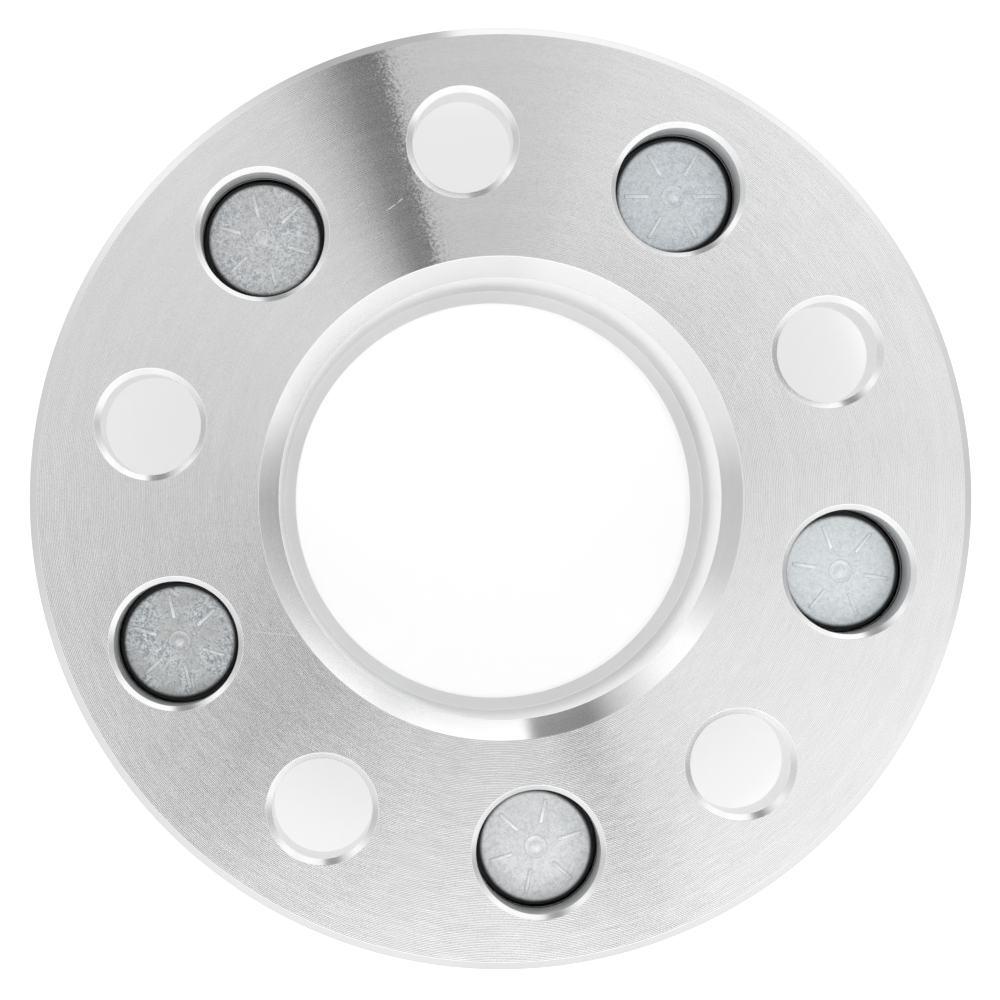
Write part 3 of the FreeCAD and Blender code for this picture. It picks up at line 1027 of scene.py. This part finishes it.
# %% The cards
# Pairs of a bearing and a brightness. Bearings are in degrees from +X, counter-clockwise
# seen from above. Low cards stand round the plate, and the other two bands hang over it.
LOW_CARDS = [
    (0, 0.55), (14, 0.72), (24, 0.94), (34, 1.16), (44, 1.22), (54, 1.10),
    (63, 1.24), (87.5, 1.30), (89, 0.31), (104, 0.24), (111, 0.66), (124, 1.12),
    (134, 1.20), (144, 0.88), (155, 0.67), (165, 0.62), (178, 0.60), (194, 0.88),
    (214, 0.95), (234, 1.04), (254, 1.06), (264, 0.98), (284, 1.03), (304, 1.12),
    (320, 1.15), (334, 1.15), (345, 0.73), (354, 0.53), (360, 0.55),
]
FACE_CARDS = [
    (0, 0.89), (20, 0.98), (39, 0.97), (54, 0.91), (69, 0.80), (76, 0.69),
    (90, 0.59), (98.5, 0.58), (99.5, 0.24), (104, 0.38), (109, 0.76), (114, 0.92),
    (122, 0.91), (139, 0.82), (159, 0.87), (174, 0.92), (189, 0.97), (204, 1.08),
    (219, 1.10), (234, 1.30), (249, 1.36), (264, 1.32), (282, 1.38), (294, 1.26),
    (309, 1.15), (334, 1.03), (360, 0.89),
]
TOP_CARDS = [
    (0, 0.80), (40, 0.86), (69, 0.84), (84, 0.66), (98.5, 0.76), (99.5, 0.0),
    (104, 0.01), (109, 0.20), (114, 0.46), (122, 0.59), (139, 0.64), (174, 0.41),
    (189, 0.23), (204, 0.13), (219, 0.0), (234, 0.12), (249, 0.27), (264, 0.44),
    (275, 0.30), (283, 0.26), (291, 0.58), (309, 0.79), (334, 0.83), (360, 0.80),
]
BRIGHTEST = 1.40
print("Cards:", len(LOW_CARDS), "low,", len(FACE_CARDS), "high,", len(TOP_CARDS), "overhead")

# %% The ring that carries the cards
CARD_RADIUS = 2.5
CARD_START = 0.085
CARD_STEPS = 24
dome_outline = [(CARD_START, TIP + 1 * MM), (CARD_RADIUS, TIP + 1 * MM)]
for step in range(1, CARD_STEPS):
    rise = math.pi / 2 * step / CARD_STEPS
    dome_outline.append((CARD_RADIUS * math.cos(rise), CARD_RADIUS * math.sin(rise)))
dome_outline.append((0.01, CARD_RADIUS))
cards = turned("ring_of_cards", dome_outline, STEPS_ROUND_HOLE, ends="open")
cards.visible_camera = False
cards.visible_diffuse = False
cards.visible_shadow = False
cards.visible_transmission = False
print("Ring of cards:", len(cards.data.polygons), "faces")


# %% The light of the cards
def card_band(tree, place, middle, cards_of_band):
    """The brightness of a band of cards round a middle, and the distance from it."""
    offset = tree.flat(tree.vector("SUBTRACT", place, middle))
    turn = tree.bearing(offset) * (1 / (2 * math.pi))
    stops = [(bearing / 360, brightness / BRIGHTEST) for bearing, brightness in cards_of_band]
    shade = tree.node("ValToRGB", {"stops": stops}, {0: tree.math("FRACT", turn + 1)})
    return shade, tree.length(offset)


# Where one band of cards fades into the next: the overhead cards end at this distance
# from the middle of the spokes, and the low cards at this height, in radii of the ring.
OVERHEAD_FADE = (0.08, 0.30)
LOW_FADE = (0.5, 0.2)
# The part of the ring that lies on the table is a mix of its cards and this tone, and
# darker by this share next to the plate.
TABLE_TONE = grey(0.54)
TABLE_MIX = 0.5
TABLE_FADE = (0.01, 0.0)
NEAR_SHADE = 0.30
NEAR_FADE = (0.10, 0.04)
# A level mirror on the axis shows the camera this point of the dome, so the spokes of
# light on the turned faces start from it.
SPOKE_MIDDLE = tuple(-CAMERA_FOOT / CAMERA_HEIGHT)
card_finish = bpy.data.materials.new("card_ring")
tree = Tree(card_finish)
place = tree.scaled(tree.place(), 1 / CARD_RADIUS)
height = tree.height(place)
low, _ = card_band(tree, place, (0, 0, 0), LOW_CARDS)
face, distance = card_band(tree, place, SPOKE_MIDDLE, FACE_CARDS)
top, _ = card_band(tree, place, SPOKE_MIDDLE, TOP_CARDS)
shade = tree.blend(tree.smooth(distance, *OVERHEAD_FADE), top, face)
shade = tree.blend(tree.smooth(height, *LOW_FADE), shade, low)
near = tree.smooth(tree.length(tree.flat(place)), *NEAR_FADE)
on_table = tree.smooth(height, *TABLE_FADE)
shade = tree.blend(on_table * TABLE_MIX, shade, TABLE_TONE)
shade = tree.scaled(shade, 1 - on_table * near * NEAR_SHADE)
glow = tree.node("Emission", None, {"Color": shade, "Strength": BRIGHTEST})
tree.nodes.remove(tree.nodes["Principled BSDF"])
tree.put(tree.nodes["Material Output"].inputs["Surface"], glow)
cards.data.materials.append(card_finish)
print("Spokes start from", [round(value, 3) for value in SPOKE_MIDDLE[:2]], "of the ring's radius")

# %% The soft key light
KEY_PLACE = (0.08, -0.90, 1.1)
KEY_SIZE = 0.8
KEY_POWER = 5
select_only()
bpy.ops.object.light_add(type="AREA", location=KEY_PLACE)
key = bpy.context.object
key.name = "soft_key"
key.data.size = KEY_SIZE
key.data.energy = KEY_POWER
key.rotation_euler = (-Vector(KEY_PLACE)).to_track_quat("-Z", "Y").to_euler()
key.visible_glossy = False
print("Key light:", KEY_POWER, "W from", KEY_PLACE)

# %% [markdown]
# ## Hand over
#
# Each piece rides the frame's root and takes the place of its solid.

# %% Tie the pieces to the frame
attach(plate, "root")
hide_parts("spacer_plate")
for number, stud in enumerate(studs, start=1):
    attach(stud, "root")
    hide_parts(f"wheel_stud_{number}")
print("Tied to the frame:", 1 + len(studs), "pieces")
